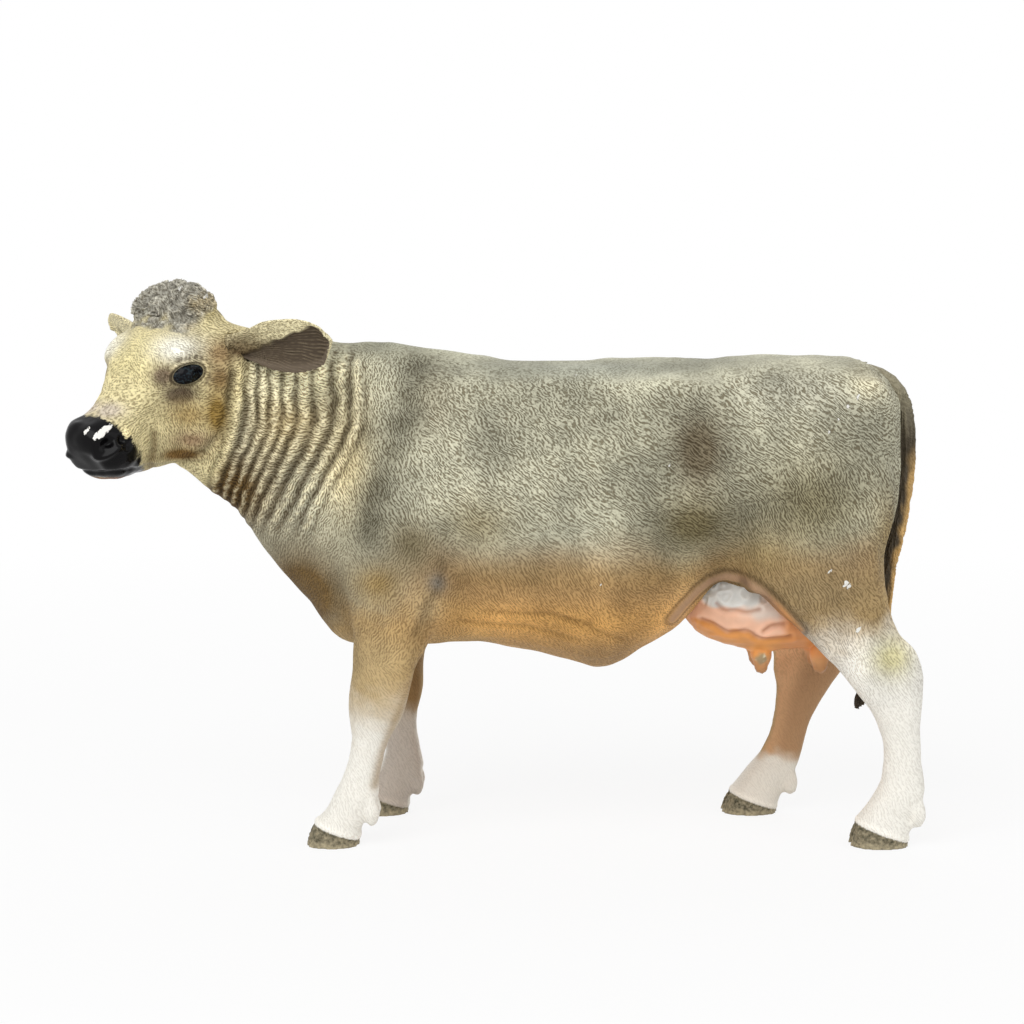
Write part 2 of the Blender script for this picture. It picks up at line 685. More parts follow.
def leg_paint(points, facing, colour, colours):
    """Legs fade from tan to white on the way down, and are dull on their inner sides."""
    x, y, z = points.T
    ragged = z + 1.0 * waver(points, 6.0, 8) + 0.5 * waver(points, 2.0, 9)
    for side, pair, tan_top, tan_full, white_top, white_full in LEG_FADES:
        zone = ramp(-0.5, 0.5, y * side)
        if pair == "fore":
            zone = zone * ramp(0, -6, x) * (1 - ramp(-25, -28, x) * ramp(32.5, 35, z))
        else:
            zone = zone * ramp(24, 30, x)
        colour = over(colour, colours.leg_tan, zone * ramp(tan_top, tan_full, ragged) * 0.85)
        colour = over(colour, colours.leg_white, zone * ramp(white_top, white_full, ragged))
        inner = zone * ramp(0.1, -0.7, facing * side) * ramp(36, 30, z)
        brown = linear("#80603a") if pair == "fore" else linear("#deb086")
        fade = ramp(white_full, white_top, ragged)
        colour = over(colour, brown, inner * fade * 0.85)
        if pair == "hind":
            rear = ramp(-0.5, 3.0, x - 38 - 0.31 * z)
            colour = over(colour, linear("#7d5d3f"), inner * fade * rear * 0.5)
        dull = linear("#b1a396") if pair == "fore" else linear("#e4ddd0")
        colour = over(colour, dull, inner * (1 - fade) * 0.8)
    tendon = line(points, TENDON, 0.8) * ramp(1, -1, y)
    return over(colour, linear("#a58a60"), tendon * 0.6)


def body_paint(points, facing, colours):
    """The body's sprays: grey above, tan below, and white legs."""
    mirrored = points.copy()
    mirrored[:, 1] = -np.abs(mirrored[:, 1])
    colour = coat(points, colours.hide)
    low = ramp(50.0, 41.0, points[:, 2] + 1.2 * waver(points, 9.0, 21))
    colour = over(colour, colours.belly, low * ramp(-22, -10, points[:, 0]) * 0.9)
    colour = spray(leg_paint(points, facing, colour, colours), mirrored, BODY_SPRAYS)
    rim = rim_reach(points)
    orange = ramp(38, 42, points[:, 0])[:, None]
    skin = np.array(linear("#94775f")) * (1 - orange) + np.array(linear("#b98250")) * orange
    colour = colour + (skin - colour) * (0.9 * np.exp(-(rim / 0.75) ** 4))[:, None]
    colour = over(colour, linear("#5f4630"), 0.55 * np.exp(-((rim - 1.05) / 0.32) ** 2))
    blade = line(points, BLADE_EDGE, 2.8) * (0.8 + 0.3 * waver(points, 3.0, 18))
    colour = over(colour, linear("#78725c"), np.clip(blade, 0, 1) * 0.55)
    return washed_folds(points, facing, colour)


def face_paint(points, colours):
    """The face's sprays, and the tuft: grey with a yellow end on its left."""
    colour = spray(coat(points, colours.face), face_view(points), FACE_SPRAYS)
    places = head_places(points)
    nape = ramp(7, 4, places[:, 0]) * ramp(-5, -8, places[:, 1]) * ramp(7, 4, np.abs(places[:, 2]))
    colour = over(colour, colours.face, nape)
    out = places[:, 2] + 0.6 * waver(points, 3.0, 14)
    grey = over(coat(points, colours.tuft), linear("#d8c9a6"), ramp(4.5, 7.5, out) * 0.9)
    speck = waver(points, 0.8, 15) + 0.6 * waver(points, 1.6, 16)
    grey = over(grey, linear("#5a554a"), ramp(-0.2, -1.4, speck) * 0.6)
    grey = over(grey, linear("#d8d4c4"), ramp(0.4, 1.5, speck) * 0.7)
    reach = eye_reach(points)[2]
    strokes = ramp(-0.6, 0.9, waver(points * (1, 1, 0.5), 0.7, 20))
    colour = over(colour, linear("#463a2c"), 0.8 * np.exp(-((reach - 1.10) / 0.12) ** 2))
    colour = over(colour, linear("#5c4c3b"), 0.7 * np.exp(-((reach - 1.65) / 0.35) ** 2) * strokes)
    colour = over(colour, linear("#8c7650"), 0.6 * line(points, LIP_GROOVE, 0.5))
    return over(colour, grey, tuft_share(points))


def cow_paint(points, facing, colours):
    """The paint of the whole skin."""
    body = body_paint(points, facing, colours)
    face = face_paint(points, colours)
    return over(body, face, ramp(-1.5, 1.5, to_joint(points)))


def black_mask(points):
    """1 well inside the black of the muzzle, and 0 outside it."""
    reach = turned_reach(face_view(points), (-62.6, 60.4), 7.2, 6.0, -12)[2]
    edge = reach + 0.03 * waver(points, 1.6, 41)
    _, below, reach = nostril_reach(points)
    edge += 0.08 * np.exp(-((reach - 1.75) / 0.30) ** 2) * ramp(0.5, -0.7, below)
    return (ramp(1.13, 0.95, edge) * ramp(9, 13, head_places(points)[:, 0])
            * ramp(56.7, 57.7, points[:, 2]))


# Chips in the paint down to the white vinyl: middle across and up, and size. They are
# longer one way.
CHIPS = (
    (-62.1, 64.4, 0.45), (-59.9, 64.1, 0.75), (-59.1, 64.7, 0.50), (-60.7, 63.6, 0.45),
    (-50.4, 85.2, 0.35), (-44.6, 85.0, 0.42),
    (-46.4, 84.0, 0.30), (47.6, 43.0, 0.30), (50.1, 41.2, 0.42), (50.6, 40.6, 0.30),
    (52.2, 34.0, 0.45), (13.2, 41.5, 0.22), (49.0, 65.5, 0.25), (50.6, 67.3, 0.30),
    (52.2, 68.8, 0.28), (47.6, 63.7, 0.22), (23.5, 58.8, 0.22), (9.6, 72.0, 0.20),
)
# The way that chips are long and the way across it, each across and up.
CHIP_WAYS = np.array(((0.5, 0.87), (0.87, -0.5)))


def chip_level(points, facing):
    """How far inside a chip a point of the left side is, in millimetres."""
    level = np.full(len(points), -9.0)
    for x, z, size in CHIPS:
        along, across = CHIP_WAYS @ (points[:, (0, 2)] - (x, z)).T
        level = np.maximum(level, size - np.hypot(along * 0.75, across * 1.5))
    return np.where(facing < -0.2, level, -9.0)


# How the hair lies in each region, across and up, its radii and its share in the
# four engraved patterns: down and back, steeply back, down and forward, along.
HAIR_REGIONS = (
    ((15, 60), (34, 20), (1, 0, 0, 0)),
    ((15, 76), (60, 7), (0.6, 0, 0, 1)),
    ((10, 38), (30, 11), (0, 1, 0, 0)),
    ((-20, 62), (9, 22), (0, 1, 0, 0)),
    ((-37, 68), (12, 14), (0, 0, 0, 1)),
    ((-34, 48), (10, 10), (0, 0, 1, 0)),
    ((-18, 38), (12, 14), (0, 0, 1, 0)),
    ((-24, 12), (14, 24), (0, 1, 0, 0)),
    ((48, 50), (16, 16), (0, 1, 0, 0)),
    ((46, 66), (16, 10), (1, 0, 0, 0)),
    ((52, 20), (20, 26), (0.3, 1, 0, 0)),
    ((-54, 76), (7, 7), (0, 0, 1, 0.3)),
    ((-47, 64), (6, 7), (0, 0, 1, 0)),
    ((-57, 68), (6, 6), (0, 0, 0.4, 1)),
    ((-48, 78), (5, 5), (0, 1, 0, 0)),
)


def hair_shares(points):
    """How much of each engraved pattern shows at a point."""
    flat = points[:, (0, 2)]
    total = np.full((len(points), 4), 1e-9)
    for k, (place, radii, shares) in enumerate(HAIR_REGIONS):
        pull = (hill(flat, place, radii) * np.exp(0.9 * waver(points, 6.0, 50 + k))) ** 2
        total += pull[:, None] * np.array(shares)
    total = total ** 1.5
    return total / total.sum(axis=1)[:, None]


# How much finer the hair lines are on the head and on the ears than on the body.
HEAD_FINENESS = 1.12
EAR_FINENESS = 1.35


def comb_places(points, on_head):
    """The places that hair lines are laid in: the body's side, or finer the head's."""
    if not on_head:
        return points * (1, 0, 1) + np.abs(points) * (0, 1, 0)
    places = head_places(points)
    return np.stack((-places[:, 0], np.abs(places[:, 2]), places[:, 1]), axis=1) * HEAD_FINENESS


def attribute(tree, name, output):
    """Values kept on the mesh."""
    node = add_node(tree, "ShaderNodeAttribute", {"attribute_name": name})
    return node.outputs[output]


# Turns of the four engraved patterns below the horizontal. The waves also run a
# little across the figure, so the hair shows on its back and under its belly.
HAIR_ANGLES = (35, 62, 112, 12)
HAIR_ACROSS = 0.35


def fur_ridges(tree, pitch):
    """Ridges of hair about nothing: waves in four ways that fade and break in a soft swirl."""
    comb = attribute(tree, "comb", "Vector")
    lie = add_node(tree, "ShaderNodeAttribute", {"attribute_name": "lie"})
    parts = add_node(tree, "ShaderNodeSeparateColor", Color=lie.outputs["Color"])
    drift = add_node(tree, "ShaderNodeTexNoise", Vector=comb, Scale=0.33, Detail=1.0,
                     Roughness=0.25, Lacunarity=4.3)
    place = add_node(tree, "ShaderNodeVectorMath", {"operation": 'MULTIPLY_ADD'},
                     _0=drift.outputs["Color"], _1=(1.3, 1.3, 1.3), _2=comb).outputs[0]
    sums = {'COSINE': None, 'SINE': None}
    for share, angle in zip(list(parts.outputs[:3]) + [lie.outputs["Alpha"]], HAIR_ANGLES):
        turn = math.radians(angle)
        wave = Vector((math.sin(turn), HAIR_ACROSS, math.cos(turn))) * 2 * math.pi / pitch
        phase = add_node(tree, "ShaderNodeVectorMath", {"operation": 'DOT_PRODUCT'}, _0=place,
                         _1=wave).outputs["Value"]
        for kind, total in sums.items():
            term = add_node(tree, "ShaderNodeMath", {"operation": kind}, _0=phase).outputs[0]
            added = {} if total is None else {"_2": total}
            act = 'MULTIPLY' if total is None else 'MULTIPLY_ADD'
            sums[kind] = add_node(tree, "ShaderNodeMath", {"operation": act}, _0=term, _1=share,
                                  **added).outputs[0]
    laid = add_node(tree, "ShaderNodeMapping", {"vector_type": 'TEXTURE'}, Vector=comb,
                    Rotation=(0, math.radians(42), 0), Scale=(1.25, 0.5, 0.5))
    swirl = add_node(tree, "ShaderNodeTexNoise", Vector=laid.outputs[0], Scale=1.0, Detail=0.0)
    swirl = add_node(tree, "ShaderNodeVectorMath", {"operation": 'SUBTRACT'},
                     _0=swirl.outputs["Color"], _1=(0.5, 0.5, 0.5))
    swirl = add_node(tree, "ShaderNodeSeparateXYZ", Vector=swirl.outputs[0])
    real = add_node(tree, "ShaderNodeMath", {"operation": 'MULTIPLY'}, _0=sums['COSINE'],
                    _1=swirl.outputs["X"])
    crossed = add_node(tree, "ShaderNodeMath", {"operation": 'MULTIPLY'}, _0=sums['SINE'],
                       _1=swirl.outputs["Y"])
    real = add_node(tree, "ShaderNodeMath", {"operation": 'SUBTRACT'}, _0=real.outputs[0],
                    _1=crossed.outputs[0])
    return real.outputs[0]


def mixed(tree, share, first, second):
    """A colour between two, each a socket or a linear colour."""
    node = add_node(tree, "ShaderNodeMix", {"data_type": 'RGBA'}, Factor=share)
    for place, colour in ((6, first), (7, second)):
        if isinstance(colour, bpy.types.NodeSocket):
            tree.links.new(colour, node.inputs[place])
        else:
            node.inputs[place].default_value = (*colour, 1)
    return node.outputs[2]


def new_material(name):
    """A new material, its nodes and its shader."""
    material = bpy.data.materials.new(name)
    material.use_nodes = True
    return material, material.node_tree, material.node_tree.nodes["Principled BSDF"]


def hide_material(sizes, colours):
    """Vinyl with hair engraved in its mould, sprayed with matt paint and dry-brushed.

    A dark wash stays in the engraved lines and a pale dry coat catches their tops. The
    muzzle and the eyes are lacquered, and the hooves are rubbed down to pale vinyl.
    """
    material = bpy.data.materials.get("matt_sprayed_engraved_vinyl")
    if material:
        return material
    material, tree, shader = new_material("matt_sprayed_engraved_vinyl")
    shader.inputs["Specular IOR Level"].default_value = 0.11
    place = add_node(tree, "ShaderNodeTexCoord").outputs["Object"]
    paint = attribute(tree, "paint", "Color")
    depth = attribute(tree, "depth", "Fac")
    marks = add_node(tree, "ShaderNodeSeparateXYZ", Vector=attribute(tree, "marks", "Vector"))
    ridge = fur_ridges(tree, sizes.fur_pitch / MM)
    # Grain of the sprayed paint, 0.4 mm and finer, and patches of 1.6 mm where the hair
    # is rubbed.
    grain = add_node(tree, "ShaderNodeTexNoise", Vector=place, Scale=2500.0, Detail=3.0,
                     Roughness=0.6)
    patch = add_node(tree, "ShaderNodeTexNoise", Vector=place, Scale=620.0, Detail=2.0)
    force = add_node(tree, "ShaderNodeMapRange", Value=patch.outputs["Fac"], From_Min=0.3,
                     From_Max=0.62, To_Min=0.45, To_Max=1.35)
    hair = add_node(tree, "ShaderNodeMath", {"operation": 'MULTIPLY_ADD'}, _0=ridge,
                    _1=force.outputs[0], _2=grain.outputs["Fac"])
    engraved = add_node(tree, "ShaderNodeMapRange", {"interpolation_type": 'SMOOTHSTEP'},
                        Value=hair.outputs[0], From_Min=0.27, From_Max=0.62)
    washed = mixed(tree, engraved.outputs[0], (0.46, 0.42, 0.36), (1.26, 1.27, 1.27))
    washed = mixed(tree, depth, (1.0, 1.0, 1.0), washed)
    tinted = add_node(tree, "ShaderNodeVectorMath", {"operation": 'MULTIPLY'}, _0=paint, _1=washed)
    edge = add_node(tree, "ShaderNodeMath", {"operation": 'MULTIPLY_ADD'},
                    _0=grain.outputs["Fac"], _1=0.5, _2=marks.outputs["Y"])
    hoof = add_node(tree, "ShaderNodeMapRange", Value=edge.outputs[0], From_Min=0.2, From_Max=0.4)
    worn = add_node(tree, "ShaderNodeTexNoise", Vector=place, Scale=2000.0, Detail=3.0)
    height = add_node(tree, "ShaderNodeSeparateXYZ", Vector=place)
    rubbed = add_node(tree, "ShaderNodeMapRange", Value=height.outputs["Z"], From_Min=0.0003,
                      From_Max=0.0011, To_Min=0.22, To_Max=0.0)
    rubbed = add_node(tree, "ShaderNodeMath", {"operation": 'ADD'}, _0=rubbed.outputs[0],
                      _1=worn.outputs["Fac"])
    rubbed = add_node(tree, "ShaderNodeMapRange", Value=rubbed.outputs[0], From_Min=0.30,
                      From_Max=0.95)
    horn = mixed(tree, rubbed.outputs[0], colours.horn_dark, colours.horn_pale)
    shod = mixed(tree, hoof.outputs[0], tinted.outputs[0], horn)
    eye = add_node(tree, "ShaderNodeMapRange", Value=marks.outputs["Z"], From_Min=0.0,
                   From_Max=0.06)
    # The black is sprayed over the hair, so its edge is soft and breaks on the ridges.
    sprayed = add_node(tree, "ShaderNodeMath", {"operation": 'MULTIPLY_ADD'},
                       _0=engraved.outputs[0], _1=-0.30, _2=marks.outputs["X"])
    sprayed = add_node(tree, "ShaderNodeMapRange", {"interpolation_type": 'SMOOTHSTEP'},
                       Value=sprayed.outputs[0], From_Min=0.02, From_Max=0.62)
    gloss = add_node(tree, "ShaderNodeMath", {"operation": 'MAXIMUM'}, _0=sprayed.outputs[0],
                     _1=eye.outputs[0])
    mottle = add_node(tree, "ShaderNodeTexNoise", Vector=place, Scale=2600.0, Detail=2.0)
    mottle = add_node(tree, "ShaderNodeMapRange", Value=mottle.outputs["Fac"], From_Min=0.50,
                      From_Max=0.72)
    iris = mixed(tree, mottle.outputs[0], colours.iris, colours.eye)
    lacquer = mixed(tree, eye.outputs[0], colours.black, iris)
    black = mixed(tree, gloss.outputs[0], shod, lacquer)
    chips = add_node(tree, "ShaderNodeMath", {"operation": 'MULTIPLY_ADD'},
                     _0=worn.outputs["Fac"], _1=0.9, _2=attribute(tree, "chips", "Fac"))
    bare = add_node(tree, "ShaderNodeMapRange", Value=chips.outputs[0], From_Min=0.42,
                    From_Max=0.48)
    shown = mixed(tree, bare.outputs[0], black, colours.vinyl)
    tree.links.new(shown, shader.inputs["Base Color"])
    dull = add_node(tree, "ShaderNodeMapRange", Value=bare.outputs[0], To_Min=1.0, To_Max=0.0)
    shine = add_node(tree, "ShaderNodeMath", {"operation": 'MULTIPLY'}, _0=gloss.outputs[0],
                     _1=dull.outputs[0])
    rough = add_node(tree, "ShaderNodeMapRange", Value=shine.outputs[0], To_Min=0.60, To_Max=0.20)
    tree.links.new(rough.outputs[0], shader.inputs["Roughness"])
    level = add_node(tree, "ShaderNodeMath", {"operation": 'MULTIPLY'}, _0=engraved.outputs[0],
                     _1=depth)
    level = add_node(tree, "ShaderNodeMath", {"operation": 'MULTIPLY_ADD'}, _0=bare.outputs[0],
                     _1=-0.6, _2=level.outputs[0])
    bump = add_node(tree, "ShaderNodeBump", Height=level.outputs[0], Distance=sizes.fur_depth,
                    Strength=1.0)
    tree.links.new(bump.outputs["Normal"], shader.inputs["Normal"])
    return material


def udder_material():
    """Smooth vinyl skin under satin sprayed paint: soft highlights and fine pores."""
    material, tree, shader = new_material("satin_sprayed_smooth_vinyl")
    place = add_node(tree, "ShaderNodeTexCoord").outputs["Object"]
    paint = attribute(tree, "paint", "Color")
    # Cloudy spray, 2.5 mm, and pores of 0.3 mm, coarser than real so that they show.
    cloud = add_node(tree, "ShaderNodeTexNoise", Vector=place, Scale=400.0, Detail=3.0)
    pores = add_node(tree, "ShaderNodeTexNoise", Vector=place, Scale=3300.0, Detail=1.0)
    shade = mixed(tree, cloud.outputs["Fac"], (0.86, 0.80, 0.76), (1.12, 1.12, 1.13))
    tinted = add_node(tree, "ShaderNodeVectorMath", {"operation": 'MULTIPLY'}, _0=paint, _1=shade)
    tree.links.new(tinted.outputs[0], shader.inputs["Base Color"])
    rough = add_node(tree, "ShaderNodeMapRange", Value=cloud.outputs["Fac"], To_Min=0.38,
                     To_Max=0.58)
    tree.links.new(rough.outputs[0], shader.inputs["Roughness"])
    bump = add_node(tree, "ShaderNodeBump", Height=pores.outputs["Fac"], Distance=0.00006,
                    Strength=0.6)
    tree.links.new(bump.outputs["Normal"], shader.inputs["Normal"])
    return material


def core_material(colours):
    """Injection-moulded polypropylene, unpainted: faintly cloudy and half dull."""
    material, tree, shader = new_material("moulded_polypropylene")
    place = add_node(tree, "ShaderNodeTexCoord").outputs["Object"]
    # Flow marks of the melt, 6 mm.
    flow = add_node(tree, "ShaderNodeTexNoise", Vector=place, Scale=160.0, Detail=3.0)
    tinted = mixed(tree, flow.outputs["Fac"], [0.88 * v for v in colours.core], colours.core)
    tree.links.new(tinted, shader.inputs["Base Color"])
    rough = add_node(tree, "ShaderNodeMapRange", Value=flow.outputs["Fac"], To_Min=0.40,
                     To_Max=0.56)
    tree.links.new(rough.outputs[0], shader.inputs["Roughness"])
    return material


def finished(piece, material, slot, *nodes):
    """Gives a piece its finish and its place in the frame."""
    if not piece.data.polygons:
        raise RuntimeError(piece.name + " has no faces")
    piece.data.materials.clear()
    piece.data.materials.append(material)
    piece.data.shade_smooth()
    piece.data.set_sharp_from_angle(angle=math.radians(75))
    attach(piece, "root")
    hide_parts(*nodes)


# How strongly relief darkens the paint in its grooves and lightens its tops, per millimetre.
WASH = 1.15


def dressed(piece, colour, rise, depth, comb, marked=False, lie=None):
    """Stores a piece's paint, washed by its relief, and the lie and the depth of its hair."""
    points = places_of(piece)
    facing = normals_of(piece.data)[:, 1]
    paint = np.ones((len(points), 4))
    paint[:, :3] = colour * np.exp(WASH * np.clip(rise, -0.6, 0.30))[:, None]
    store(piece.data, "paint", 'FLOAT_COLOR', paint)
    store(piece.data, "lie", 'FLOAT_COLOR', hair_shares(points) if lie is None else lie)
    store(piece.data, "comb", 'FLOAT_VECTOR', comb)
    marks = np.full((len(points), 3), -9.0)
    marks[:, 0] = 0
    chips = np.full(len(points), -9.0)
    if marked:
        face = to_joint(points) > 2
        marks[:, 0] = black_mask(points)
        marks[:, 1] = hoof_level(points)
        marks[:, 2] = np.where(face, 1 - eye_reach(points)[2], -1)
        chips = chip_level(points, facing)
    store(piece.data, "marks", 'FLOAT_VECTOR', marks)
    store(piece.data, "chips", 'FLOAT', chips)
    cover = np.maximum(marks[:, 0], ramp(0, 0.3, marks[:, 1]))
    cover = np.maximum(cover, ramp(-0.1, 0.1, marks[:, 2]))
    store(piece.data, "depth", 'FLOAT', depth * (1 - cover))


def cow_depth(piece):
    """How deep the fur is engraved: shallow along the back and on the lower legs."""
    points = places_of(piece)
    normals = normals_of(piece.data)
    top = ramp(0.97, 0.70, normals[:, 2])
    skin = 1 - 0.85 * np.exp(-(rim_reach(points) / 1.0) ** 4)
    far = ramp(10, 24, points[:, 0]) * ramp(2, 6, points[:, 1]) * ramp(32, 26, points[:, 2])
    low = 0.20 + 0.40 * ramp(18, 36, points[:, 2]) + 0.40 * ramp(42, 54, points[:, 2])
    brow = hill(points[:, (0, 2)], (-53, 77), (9, 6))
    face = 1 - 0.20 * ramp(0, 4, to_joint(points)) - 0.25 * brow
    return (0.40 + 0.60 * top) * low * skin * face * (1 - 0.4 * far)


def dress_cow(piece, sizes, colours, on_head):
    """Carves and paints a skin of the cow."""
    rise = carved(piece, cow_relief(sizes))
    points = places_of(piece)
    colour = cow_paint(points, normals_of(piece.data)[:, 1], colours)
    dressed(piece, colour, rise, cow_depth(piece), comb_places(points, on_head), marked=True)


def make_body(sizes, colours):
    """The two halves of the hide."""
    whole = fused_cow("whole", 0.36, 13, sole_hold)
    dress_cow(whole, sizes, colours, False)
    keep_side(whole, from_mm(JOINT_POINT), -JOINT_FACING)
    sheared(whole, 1)
    centre = from_mm((0, 0, 0))
    for name, node, facing in (("hide_left", "body_left_half", -1),
                               ("hide_right", "body_right_half", 1)):
        half = duplicate(whole, name)
        keep_side(half, centre, (0, facing, 0))
        sheared(half, -1)
        finished(half, hide_material(sizes, colours), "painted_hide", node)
    discard(whole)


def make_head(sizes, colours):
    """The head with its tuft."""
    head = fused_cow("head_skin", 0.2, 24, None)
    keep_side(head, from_mm(JOINT_POINT - JOINT_FACING * 2), JOINT_FACING)
    relaxed(head, 60, muzzle_free)
    dress_cow(head, sizes, colours, True)
    keep_side(head, from_mm(JOINT_POINT), JOINT_FACING)
    finished(head, hide_material(sizes, colours), "painted_hide", "head")


# An ear's root along the head, up and out; its aim and the way that its hollow faces.
EAR_ROOT = (0.84, -7.35, 7.9)
EAR_WAYS = {
    "ear_left": ((-0.05, -0.01, 0.98), (0.84, 0.32, 0.43)),
    "ear_right": ((-0.35, -0.24, -0.90), (0.87, 0.38, -0.21)),
}
# A last push of each tip.
EAR_TIPS = {"ear_left": (0.6, 0.0, 0.35), "ear_right": (1.2, 0.0, -0.1)}
# How far along each ear its hollow ends.
HOLLOW_ENDS = {"ear_left": 1.5, "ear_right": 0.90}
EAR_LENGTH = 18.6
EAR_HALF_WIDTH = 4.3
# Half width along an ear, and where its hollow's upper edge runs.
EAR_OUTLINE = ((0, 0.12, 0.28, 0.45, 0.62, 0.78, 0.93, 1.0),
               (0.38, 0.46, 0.64, 0.90, 1.0, 0.99, 0.82, 0.36))
HOLLOW_EDGE = ((0.06, -0.45), (0.20, -0.36), (0.40, -0.16), (0.63, 0.14), (0.85, 0.40),
               (1.0, 0.50))


def ear_places(points, name):
    """Places along an ear, up across it and out of its hollow, with its outward way."""
    axes = np.stack((AIM, CROWN, LEFT))
    side = -1 if name == "ear_right" else 1
    root = POLL + np.array((EAR_ROOT[0], EAR_ROOT[1], side * EAR_ROOT[2])) @ axes
    aim, face = (np.array(way) @ axes for way in EAR_WAYS[name])
    aim /= np.linalg.norm(aim)
    across = np.cross(face, aim)
    across /= np.linalg.norm(across)
    outward = np.cross(aim, across)
    reach = points - root
    up = side * (reach @ across)
    return reach @ aim / EAR_LENGTH, up / EAR_HALF_WIDTH, reach @ outward, outward


def make_ear(name, sizes, colours):
    """A cupped ear: cream outside, and a dark hollow with hairs that fan from its root."""
    piece = joined_nodes(name + "_skin", ((name, (0, 0, 0)),))
    reskinned(piece, 0.13)
    relaxed(piece, 30)
    points = places_of(piece)
    along = ear_places(points, name)[0]
    points += ramp(0.55, 1.0, along)[:, None] * np.array(EAR_TIPS[name])
    put_points(piece.data, from_mm(points))
    along, up, aside, outward = ear_places(points, name)
    facing = normals_of(piece.data) @ outward
    half = np.interp(along, *EAR_OUTLINE)
    wander = 0.05 * waver(points, 2.2, 61)
    edge = np.interp(along, *zip(*rounded(HOLLOW_EDGE)))
    hollow = ramp(0.08, -0.08, up + wander - edge)
    hollow *= ramp(0.10, 0.22, along) * ramp(0.0, 0.40, facing)
    hollow *= ramp(HOLLOW_ENDS[name], HOLLOW_ENDS[name] - 0.08, along)
    deep = hollow * ramp(-0.98, -0.72, up / half) * ramp(1.0, 0.90, along)
    fan = np.arctan2(up * EAR_HALF_WIDTH, (along + 0.10) * EAR_LENGTH)
    streaks = np.sin(230 * fan + 1.6 * waver(points, 4.0, 62))
    streaks *= 0.7 + 0.7 * waver(points, 1.0, 63)

    def relief(_, normals):
        root = 0.28 * ramp(0.10, 0.0, along)
        return root - sizes.ear_hollow / MM * deep * (1 - 0.25 * up * up) + 0.07 * streaks * hollow
    carved(piece, relief)
    outer = over(coat(points, linear("#f2e7bd")), linear("#6f5c40"),
                 ramp(0.60, 0.15, along) * ramp(0.9, -0.1, up) * 0.9)
    outer = over(outer, linear("#57472f"), ramp(0.45, 0.0, up - edge) * ramp(0.7, 0.3, along) * 0.8)
    rim = ramp(-0.70, -0.95, up / half) * 0.4
    inner = over(coat(points, linear("#51463a")), linear("#8d7f68"), ramp(-0.2, 1.2, streaks) * 0.6)
    inner = over(inner, linear("#7f7263"), rim)
    inner = over(inner, linear("#3d342b"), ramp(0.34, 0.16, along) * 0.5)
    colour = over(outer, inner, hollow)
    comb = np.stack((along * EAR_LENGTH, aside, up * EAR_HALF_WIDTH), axis=1)
    lie = np.tile((0.25, 0.0, 0.0, 0.75), (len(points), 1))
    dressed(piece, colour, np.zeros(len(points)), 0.9 * (1 - hollow), comb * EAR_FINENESS, lie=lie)
    finished(piece, hide_material(sizes, colours), "painted_hide", name)


# The udder's creases, across and up: under its grey patch, over its orange edge, and
# an arc to the rear.
UDDER_CREASES = (
    ((31.6, 36.8), (32.7, 35.7), (34.4, 36.0), (36.1, 35.5), (38.1, 36.1)),
    ((29.6, 34.2), (31.2, 33.7), (33.3, 32.3), (34.8, 32.6), (36.6, 32.7), (38.1, 31.4),
     (41.9, 31.6), (43.0, 31.8)),
    ((38.9, 32.7), (40.0, 33.6), (41.9, 33.8)),
)
# Teats: two along the udder, each side this far out, and how much shorter they are
# drawn than the frame's.
TEATS = (38.97, 48.15)
TEATS_APART = 3.45
TEAT_LIFT = 0.9


def udder_relief(sizes):
    """Wavy creases, soft wrinkles over the grey patch, and a fit against the belly."""
    def relief(points, normals):
        side = ramp(0.1, 0.6, np.abs(normals[:, 1]))
        rise = 0.24 * ramp(29.5, 31.5, points[:, 2])
        for crease in UDDER_CREASES:
            near = near_curve(points, rounded(crease))
            rise -= sizes.crease_depth / MM * np.exp(-(near / 0.34) ** 2) * side
            rise += 0.16 * np.exp(-((near - 0.8) / 0.5) ** 2) * side
        wrinkles = 1 - 2 * np.abs(np.sin(1.6 * waver(points, 2.2, 71)))
        rise += 0.14 * wrinkles * ramp(35.5, 37.5, points[:, 2])
        reach = np.minimum(np.abs(points[:, 0] - TEATS[0]), np.abs(points[:, 0] - TEATS[1]))
        reach = np.hypot(reach, np.abs(points[:, 1]) - TEATS_APART)
        teat = ramp(31.0, 29.0, points[:, 2]) * np.exp(-(reach / 2.3) ** 4)
        rise += teat * (0.5 - 0.9 * ramp(28.6, 25.0, points[:, 2]))
        rise += 0.05 * np.sin(0.9 * waver(points * (0.7, 1, 1.4), 2.4, 72) * 3) * ramp(36, 33, points[:, 2])
        return rise
    return relief


def udder_paint(points, colours):
    """Grey white at the top, pink below it, and orange along the low edge and the rear."""
    x, _, z = points.T
    wander = 0.35 * waver(points, 3.0, 73)
    level = np.interp(x, *zip(*UDDER_CREASES[1]))
    colour = over(coat(points, colours.udder_pink), linear("#dccdc0"),
                  ramp(33.6, 35.6, z + wander) * ramp(34, 38, x))
    patch = np.hypot((x - 33.8) / 5.2, (z - 39.6) / 3.6) + 0.08 * waver(points, 2.0, 74)
    colour = over(colour, colours.udder_grey, ramp(1.12, 0.88, patch))
    colour = over(colour, colours.udder_orange, ramp(0.5, -0.5, z + wander * 0.6 - level))
    colour = over(colour, linear("#d08c50"), ramp(40.8, 43.0, x + wander) * 0.9)
    for crease in UDDER_CREASES:
        colour = over(colour, linear("#bd7850"), 0.45 * line(points, rounded(crease), 0.24))
    colour = over(colour, linear("#c58f5a"), ramp(28.9, 27.4, z))
    chip = 1 - ramp(0.5, 1.1, np.hypot(x - 38.9, z - 27.9) + 0.15 * waver(points, 0.9, 75))
    colour = over(colour, linear("#8d8264"), chip * 0.85)
    return over(colour, linear("#c9c4ab"), chip * ramp(0.2, 1.2, waver(points, 0.7, 76)))


